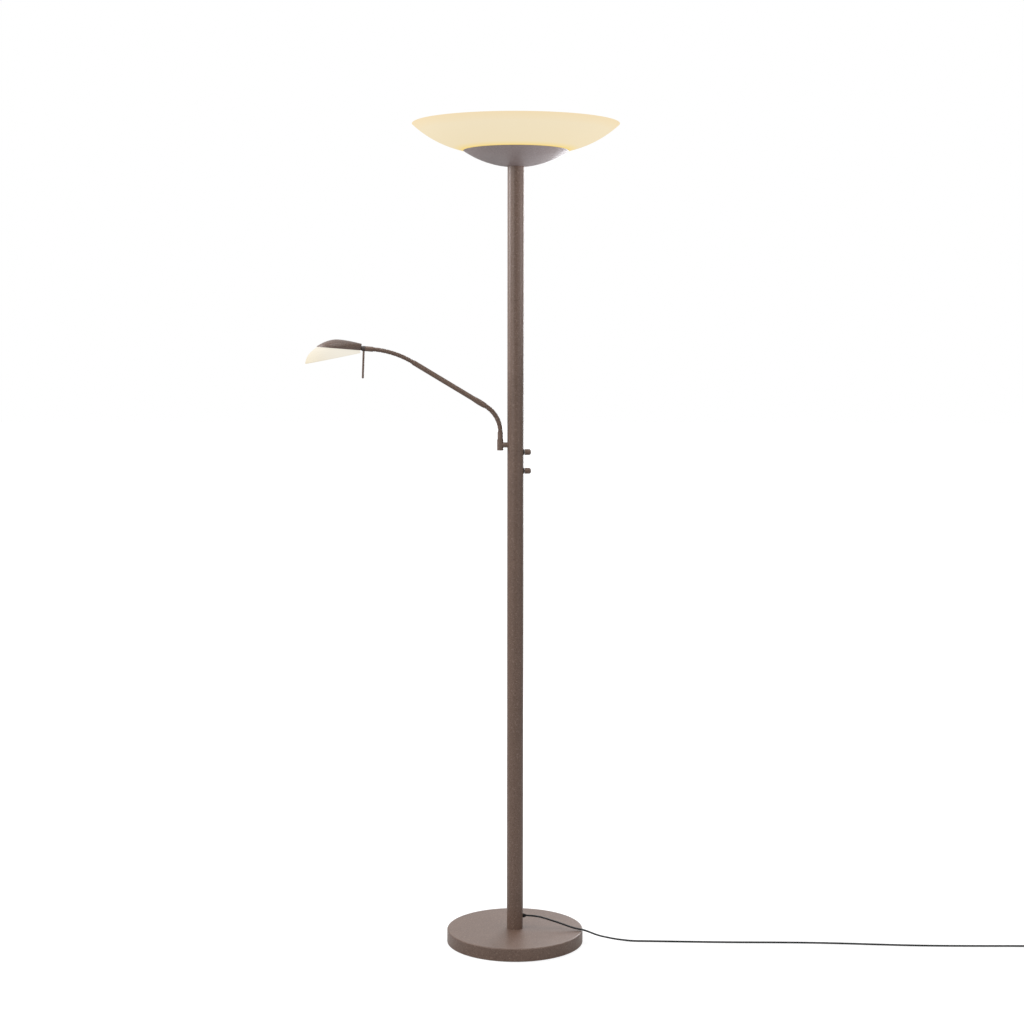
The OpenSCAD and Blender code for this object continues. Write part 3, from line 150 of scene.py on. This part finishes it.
coil_end = 2 * coil_turns - 0.25
coil_rings = 40
coil_last = coil_point(coil_end)
tail_rise = plug_z - coil_low - coil_layer
tail = [coil_last + Vector((0, -out, up)) for out, up in (
    (6, 0), (14, -1), (22, -2.8), (30, -3.8), (38, -3.4), (46, -1.6), (54, -0.2), (60, tail_rise),
    (66, tail_rise))]
lead_path = smooth_path(route, 4)
lead_path += [Vector(route[-1]) + Vector((3, 0, 0))]
lead_path += [coil_point(i / coil_rings) for i in range(round(coil_end * coil_rings) + 1)]
lead_path = lead_path[:-1] + smooth_path([coil_last] + tail, 3)


def lead_section():
    """Two round cores side by side, with a shallow groove between them."""
    half = lead_w / 2
    core = lead_t / 2
    centre = half - core
    groove = core * 0.72
    section = []
    for side, start in ((1, 0), (-1, 180)):
        for k in range(-4, 5):
            a = math.radians(start + k * 25)
            section.append((side * centre + core * math.cos(a), core * math.sin(a)))
        section.append((0, side * groove))
    return section


def sweep(name, path, section):
    """The section drawn along the path, kept upright."""
    up = Vector((0, 0, 1))
    rings = []
    for i, p in enumerate(path):
        along = (path[min(i + 1, len(path) - 1)] - path[max(i - 1, 0)]).normalized()
        side = along.cross(up).normalized()
        normal = side.cross(along)
        rings.append([(p + u * side + v * normal) * MM for u, v in section])
    return loft(name, rings)


lead = sweep("mains_lead", lead_path, lead_section())
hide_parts("cord_tube", "cord_coil")
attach(lead, "stand")


# Flexible tubes: the wound core that shows in the gap between two links, in millimetres
core_radii = {"lower_bend": 4.6, "upper_bend": 4.0}
core_half_length = 1.2
core_bore_r = 3.2
core_sides = 48


def core_ring(name, centre, along, radius):
    """A ring with a round back, so that it looks alike at every angle of the hinge in its centre."""
    across = Vector((0, 1, 0))
    up = along.cross(across).normalized()
    profile = []
    for k in range(-3, 4):
        z = core_half_length * k / 3
        profile.append((math.sqrt(radius ** 2 - z ** 2), z))
    profile += [(core_bore_r, core_half_length), (core_bore_r, -core_half_length)]
    rings = []
    for k in range(core_sides):
        a = 2 * math.pi * k / core_sides
        out = math.cos(a) * across + math.sin(a) * up
        rings.append([centre + (r * out + z * along) * MM for r, z in profile])
    rings.append(rings[0])
    return loft(name, rings, closed_ends=False)


flex_cores = []
for tube, radius in core_radii.items():
    hinges = [j for j in frame["joints"] if j["name"].startswith(tube)]
    places = [Vector(j["pos_m"]) for j in hinges]
    for i, joint in enumerate(hinges):
        along = (places[min(i + 1, len(places) - 1)] - places[max(i - 1, 0)]).normalized()
        core = core_ring(f"{tube}_core_{i + 1}", places[i], along, radius)
        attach(core, joint["child"])
        flex_cores.append(core)


# Materials
def srgb(r, g, b):
    def channel(c):
        c = c / 255
        return c / 12.92 if c <= 0.04045 else ((c + 0.055) / 1.055) ** 2.4
    return (channel(r), channel(g), channel(b), 1)


def shaded(colour, factor):
    return tuple(min(1, factor * c) for c in colour[:3]) + (1,)


class Nodes:
    """A short way to build a material's node tree."""

    # Places of the two colours and of the result among the sockets of a Mix node
    mix_a = 6
    mix_b = 7
    mix_result = 2

    def __init__(self, name):
        self.material = bpy.data.materials.new(name)
        self.material.use_nodes = True
        self.tree = self.material.node_tree
        self.shader = self.tree.nodes["Principled BSDF"]
        self.position = self.add("ShaderNodeTexCoord").outputs["Object"]

    def add(self, kind, **settings):
        node = self.tree.nodes.new(kind)
        for key, value in settings.items():
            setattr(node, key, value)
        return node

    def link(self, a, b):
        self.tree.links.new(a, b)

    def put(self, socket, value):
        if isinstance(value, (int, float, tuple)):
            socket.default_value = value
        else:
            self.link(value, socket)

    def noise(self, scale, detail=3, rough=0.5, vector=None):
        node = self.add("ShaderNodeTexNoise")
        node.inputs["Scale"].default_value = scale
        node.inputs["Detail"].default_value = detail
        node.inputs["Roughness"].default_value = rough
        self.link(vector or self.position, node.inputs["Vector"])
        return node.outputs["Fac"]

    def ramp(self, value, stops):
        """A colour ramp with stops of (place, colour)."""
        node = self.add("ShaderNodeValToRGB")
        while len(node.color_ramp.elements) < len(stops):
            node.color_ramp.elements.new(0.5)
        for element, (place, colour) in zip(node.color_ramp.elements, stops):
            element.position = place
            element.color = colour
        self.link(value, node.inputs["Fac"])
        return node.outputs["Color"]

    def grey(self, value, low, high, from_low=0.3, from_high=0.7):
        """The value's range from_low to from_high, spread over low to high."""
        node = self.add("ShaderNodeMapRange")
        node.inputs["From Min"].default_value = from_low
        node.inputs["From Max"].default_value = from_high
        node.inputs["To Min"].default_value = low
        node.inputs["To Max"].default_value = high
        self.link(value, node.inputs["Value"])
        return node.outputs["Result"]

    def mix(self, share, a, b, blend="MIX"):
        node = self.add("ShaderNodeMix", data_type="RGBA", blend_type=blend)
        for key, value in (("Factor", share), (self.mix_a, a), (self.mix_b, b)):
            self.put(node.inputs[key], value)
        return node.outputs[self.mix_result]

    def bump(self, height, distance, strength=1.0):
        node = self.add("ShaderNodeBump")
        node.inputs["Distance"].default_value = distance
        node.inputs["Strength"].default_value = strength
        self.link(height, node.inputs["Height"])
        return node.outputs["Normal"]

    def finish(self, colour=None, roughness=None, normal=None, **fixed):
        for key, value in (("Base Color", colour), ("Roughness", roughness), ("Normal", normal)):
            if value is not None:
                self.put(self.shader.inputs[key], value)
        for key, value in fixed.items():
            self.shader.inputs[key.replace("_", " ")].default_value = value
        return self.material


def powder_coat(name, main, dark, light, gloss=0.45):
    """Fine structured powder paint: a grainy surface with darker and lighter specks."""
    n = Nodes(name)
    grain = n.noise(1500, 3, 0.6)
    clouds = n.noise(14, 4, 0.55)
    specks = n.noise(480, 2, 0.7)
    flakes = n.noise(320, 3, 0.75)
    base = n.mix(n.grey(clouds, 0.0, 1.0), shaded(main, 0.92), shaded(main, 1.06))
    base = n.mix(n.grey(specks, 0.0, 0.9, 0.54, 0.66), base, dark)
    base = n.mix(n.grey(flakes, 0.0, 0.85, 0.56, 0.68), base, light)
    rough = n.grey(grain, 0.36, 0.5)
    normal = n.bump(grain, 0.00008, 0.45)
    return n.finish(base, rough, normal, Metallic=0.0, Specular_IOR_Level=gloss)


def satin_metal(name, colour, roughness):
    """Plated or turned metal with faint stains and a finely uneven gloss."""
    n = Nodes(name)
    fine = n.noise(900, 2, 0.5)
    stains = n.noise(60, 3, 0.5)
    base = n.mix(n.grey(stains, 0, 0.35), colour, shaded(colour, 0.8))
    rough = n.grey(fine, roughness - 0.06, roughness + 0.08)
    return n.finish(base, rough, n.bump(fine, 0.00002, 0.4), Metallic=1.0)


def plastic(name, colour, roughness, grain=1400, depth=0.00003, lift=1.25, gloss=0.4):
    """Moulded plastic with a fine eroded grain and slightly uneven gloss."""
    n = Nodes(name)
    fine = n.noise(grain, 2, 0.5)
    wide = n.noise(40, 2, 0.5)
    base = n.mix(n.grey(wide, 0, 1), colour, shaded(colour, lift))
    rough = n.grey(fine, roughness - 0.07, roughness + 0.07)
    return n.finish(base, rough, n.bump(fine, depth, 0.5), Specular_IOR_Level=gloss)


def cast_iron(name):
    """Rough casting, grey brown, with wide stains."""
    n = Nodes(name)
    lumps = n.noise(420, 4, 0.65)
    stains = n.noise(30, 3, 0.5)
    base = n.mix(n.grey(stains, 0, 1), srgb(62, 58, 55), srgb(84, 76, 70))
    return n.finish(base, n.grey(lumps, 0.55, 0.8), n.bump(lumps, 0.0004, 0.7), Metallic=0.6)


def led_board(name):
    """White solder resist with faint copper tracks showing through."""
    n = Nodes(name)
    mapping = n.add("ShaderNodeMapping")
    mapping.inputs["Scale"].default_value = (1, 1, 0)
    n.link(n.position, mapping.inputs["Vector"])
    tracks = n.noise(220, 0, 0.5, mapping.outputs["Vector"])
    base = n.mix(n.grey(tracks, 0, 0.5, 0.49, 0.51), srgb(236, 238, 232), srgb(212, 218, 208))
    return n.finish(base, 0.4, n.bump(tracks, 0.00003, 0.5))


def lit_glass(name, place, stops, glow):
    """Matt cream glass, lit from inside, with a painted glow: its colour follows the distance from a point
    or an axis.
    """
    n = Nodes(name)
    colour = n.ramp(place(n), stops)
    mottle = n.noise(16, 3, 0.5)
    colour = n.mix(n.grey(mottle, 0.0, 0.05), colour, srgb(236, 214, 168))
    ripple = n.noise(24, 2, 0.4)
    dim = n.mix(1.0, colour, (0.1, 0.1, 0.1, 1), "MULTIPLY")
    n.link(colour, n.shader.inputs["Emission Color"])
    return n.finish(dim, 0.4, n.bump(ripple, 0.0004, 0.12), Specular_IOR_Level=0.0, Emission_Strength=glow)


def from_axis(low, high):
    """Distance from the pole's axis, as a share of the way from low to high metres."""
    def build(n):
        split = n.add("ShaderNodeSeparateXYZ")
        n.link(n.position, split.inputs["Vector"])
        flat = n.add("ShaderNodeCombineXYZ")
        n.link(split.outputs["X"], flat.inputs["X"])
        n.link(split.outputs["Y"], flat.inputs["Y"])
        length = n.add("ShaderNodeVectorMath", operation="LENGTH")
        n.link(flat.outputs["Vector"], length.inputs[0])
        return n.grey(length.outputs["Value"], 0, 1, low, high)
    return build


def from_point(point, low, high):
    """Distance from a point, as a share of the way from low to high metres."""
    def build(n):
        length = n.add("ShaderNodeVectorMath", operation="DISTANCE")
        n.link(n.position, length.inputs[0])
        length.inputs[1].default_value = point
        return n.grey(length.outputs["Value"], 0, 1, low, high)
    return build


rust = powder_coat("rust_powder_coat", srgb(105, 84, 72), srgb(76, 56, 46), srgb(138, 117, 105))
# Painted shade: a darker copy of the same rust paint, for the head's cover
rust_cover_painted_shade = powder_coat(
    "rust_powder_coat_cover_painted_shade", srgb(87, 69, 60), srgb(63, 47, 39), srgb(115, 97, 88))
# Painted sheen: a lighter, greyer copy of the same rust paint, for the dish
rust_dish_painted_sheen = powder_coat(
    "rust_powder_coat_dish_painted_sheen", srgb(144, 129, 127), srgb(120, 107, 105), srgb(171, 159, 157), gloss=0.8)
dark_paint = powder_coat("dark_paint", srgb(62, 52, 50), srgb(44, 36, 35), srgb(84, 74, 72))
black_paint = plastic("black_lacquer", srgb(30, 28, 28), 0.4)
zinc = satin_metal("zinc_plate", srgb(196, 197, 200), 0.34)
nickel = satin_metal("nickel_plate", srgb(205, 202, 196), 0.22)
brass = satin_metal("turned_brass", srgb(196, 164, 96), 0.3)
aluminium = satin_metal("spun_aluminium", srgb(206, 208, 212), 0.38)
rubber = plastic("black_rubber", srgb(12, 12, 12), 0.72, 900, 0.00006, gloss=0.2)
foam = plastic("foam_pad", srgb(34, 33, 33), 0.85, 500, 0.0003)
moulded = plastic("moulded_black", srgb(28, 27, 27), 0.5)
lead_skin = plastic("lead_skin", srgb(10, 11, 11), 0.5, 700, 0.00001, gloss=0.2)
opal = plastic("opal_plastic", srgb(246, 242, 232), 0.42, 900, 0.00001, 1.0)
opal_shader = opal.node_tree.nodes["Principled BSDF"]
opal_shader.inputs["Emission Color"].default_value = srgb(255, 240, 208)
opal_shader.inputs["Emission Strength"].default_value = 0.5
board = led_board("led_board_white")
iron = cast_iron("cast_iron")
# Painted glow: a bright yellow line just above the dish's rim and a warmer band at the bowl's top rim
bowl_glass = lit_glass("cream_bowl_glass", from_axis(0.1135, 0.226), [
    (0.0, srgb(252, 222, 140)), (0.06, srgb(247, 224, 166)), (0.2, srgb(243, 227, 192)),
    (0.8, srgb(243, 228, 196)), (1.0, srgb(245, 224, 184))], 0.92)
# Painted glow: brightest near the lens, fading warmer and darker towards the shade's edges
shade_glass = lit_glass("cream_shade_glass", from_point((-0.383, 0, 1.312), 0.02, 0.085), [
    (0.0, srgb(255, 250, 238)), (0.5, srgb(252, 245, 230)), (0.85, srgb(248, 238, 216)),
    (1.0, srgb(246, 230, 192))], 0.82)

coats = {
    rust: ["base_cover", "pole_lower", "pole_upper", "arm_bracket", "arm_swivel", "arm_coupler", "arm_tube",
           "end_sleeve", "aim_handle", "knob_upper", "knob_lower"]
          + [f"lower_flex_{i}" for i in range(1, 7)] + [f"upper_flex_{i}" for i in range(1, 8)],
    rust_cover_painted_shade: ["head_cover"],
    rust_dish_painted_sheen: ["dish"],
    dark_paint: ["head_swivel"],
    zinc: ["base_nut", "pole_foot", "pole_joiner", "pole_top_plug", "bracket_nut", "swivel_clip",
           "head_screws", "dimmer_shaft_upper", "dimmer_shaft_lower"],
    nickel: ["plug_pins"],
    brass: ["dish_nuts"],
    aluminium: ["led_carrier", "head_plate"],
    rubber: ["glass_gasket", "glass_washer", "cord_gland", "cord_tie"],
    foam: ["base_pad"],
    moulded: ["driver", "dimmer_upper", "dimmer_lower", "plug_body"],
    black_paint: ["dimmer_nuts"],
    lead_skin: ["inner_lead", "cord_tube", "cord_coil"],
    opal: ["diffuser", "head_lens"],
    board: ["led_board", "head_led_board"],
    iron: ["base_weight"],
    bowl_glass: ["glass_bowl"],
    shade_glass: ["head_glass"],
}
for material, names in coats.items():
    for name in names:
        mesh = nodes[name].data
        mesh.materials.clear()
        mesh.materials.append(material)
lead.data.materials.append(lead_skin)
for core in flex_cores:
    core.data.materials.append(rust)


# Floor, backdrop and light
room_light = 0.42
bounce = (0.36, 0.36, 0.36, 1)
mirrored = (0.8, 0.8, 0.8, 1)
seen = (room_light, room_light, room_light, 1)
near_glow = 0.7
far_glow = 1.05
glow_from = 1.2
glow_to = 3.5


def diffuse(n, colour):
    node = n.add("ShaderNodeBsdfDiffuse")
    node.inputs["Color"].default_value = colour
    return node.outputs[0]


def white_floor():
    """White to the camera with the shadow kept, pale grey to the light that it sends back."""
    n = Nodes("white_floor")
    n.tree.nodes.remove(n.shader)
    out = n.tree.nodes["Material Output"]
    ray = n.add("ShaderNodeLightPath")
    glow = n.add("ShaderNodeEmission")
    glow.inputs["Color"].default_value = (1, 1, 1, 1)
    distance = n.add("ShaderNodeVectorMath", operation="LENGTH")
    n.link(n.position, distance.inputs[0])
    strength = n.grey(distance.outputs["Value"], near_glow, far_glow, glow_from, glow_to)
    n.link(strength, glow.inputs["Strength"])
    both = n.add("ShaderNodeAddShader")
    n.link(diffuse(n, seen), both.inputs[0])
    n.link(glow.outputs[0], both.inputs[1])
    unseen = n.add("ShaderNodeMixShader")
    n.link(ray.outputs["Is Glossy Ray"], unseen.inputs["Fac"])
    n.link(diffuse(n, bounce), unseen.inputs[1])
    n.link(diffuse(n, mirrored), unseen.inputs[2])
    mix = n.add("ShaderNodeMixShader")
    n.link(ray.outputs["Is Camera Ray"], mix.inputs["Fac"])
    n.link(unseen.outputs[0], mix.inputs[1])
    n.link(both.outputs[0], mix.inputs[2])
    n.link(mix.outputs[0], out.inputs["Surface"])
    return n.material


bpy.ops.mesh.primitive_plane_add(size=60, location=(0, 0, -0.0005))
floor = bpy.context.object
floor.name = "floor"
floor.data.materials.append(white_floor())

world = bpy.data.worlds.new("studio")
world.use_nodes = True
bpy.context.scene.world = world
tree = world.node_tree
background = tree.nodes["Background"]
background.inputs["Color"].default_value = (1, 1, 1, 1)
ray = tree.nodes.new("ShaderNodeLightPath")
pick = tree.nodes.new("ShaderNodeMath")
pick.operation = "MAXIMUM"
tree.links.new(ray.outputs["Is Camera Ray"], pick.inputs[0])
tree.links.new(ray.outputs["Is Glossy Ray"], pick.inputs[1])
level = tree.nodes.new("ShaderNodeMapRange")
level.inputs["To Min"].default_value = room_light
level.inputs["To Max"].default_value = 1.0
tree.links.new(pick.outputs[0], level.inputs["Value"])
tree.links.new(level.outputs["Result"], background.inputs["Strength"])


def add_light(kind, name, place, aim, power, colour):
    data = bpy.data.lights.new(name, kind)
    data.energy = power
    data.color = colour
    light = bpy.data.objects.new(name, data)
    light.location = place
    light.visible_camera = False
    light.rotation_euler = (Vector(aim) - Vector(place)).to_track_quat("-Z", "Y").to_euler()
    bpy.context.scene.collection.objects.link(light)
    return data


def area_light(name, place, aim, size, power, colour=(1, 1, 1)):
    data = add_light("AREA", name, place, aim, power, colour)
    data.shape = "RECTANGLE"
    data.size, data.size_y = size


def spot_light(name, place, aim, angle, blend, radius, power, colour):
    data = add_light("SPOT", name, place, aim, power, colour)
    data.spot_size = math.radians(angle)
    data.spot_blend = blend
    data.shadow_soft_size = radius


area_light("key", (-2.4, -3.0, 2.5), (0, 0, 1.2), (1.8, 2.6), 56)
area_light("fill", (2.6, -2.6, 1.6), (0, 0, 1.0), (1.6, 2.6), 15, (0.95, 0.97, 1))
area_light("top", (0.3, -0.4, 3.6), (0, 0, 0), (2.0, 2.0), 38)
area_light("rim", (1.2, 2.6, 1.4), (0, 0, 0.3), (1.4, 1.6), 44, (0.95, 0.96, 1))
area_light("left_strip", (-1.5, 0.1, 2.0), (0, 0, 1.7), (0.5, 1.0), 24, (0.97, 0.97, 1))
spot_light("dish_spot", (2.0, -0.3, 1.2), (0.03, 0, 1.68), 20, 0.8, 0.2, 110, (0.96, 0.95, 1))

bpy.context.scene.view_settings.view_transform = "Standard"
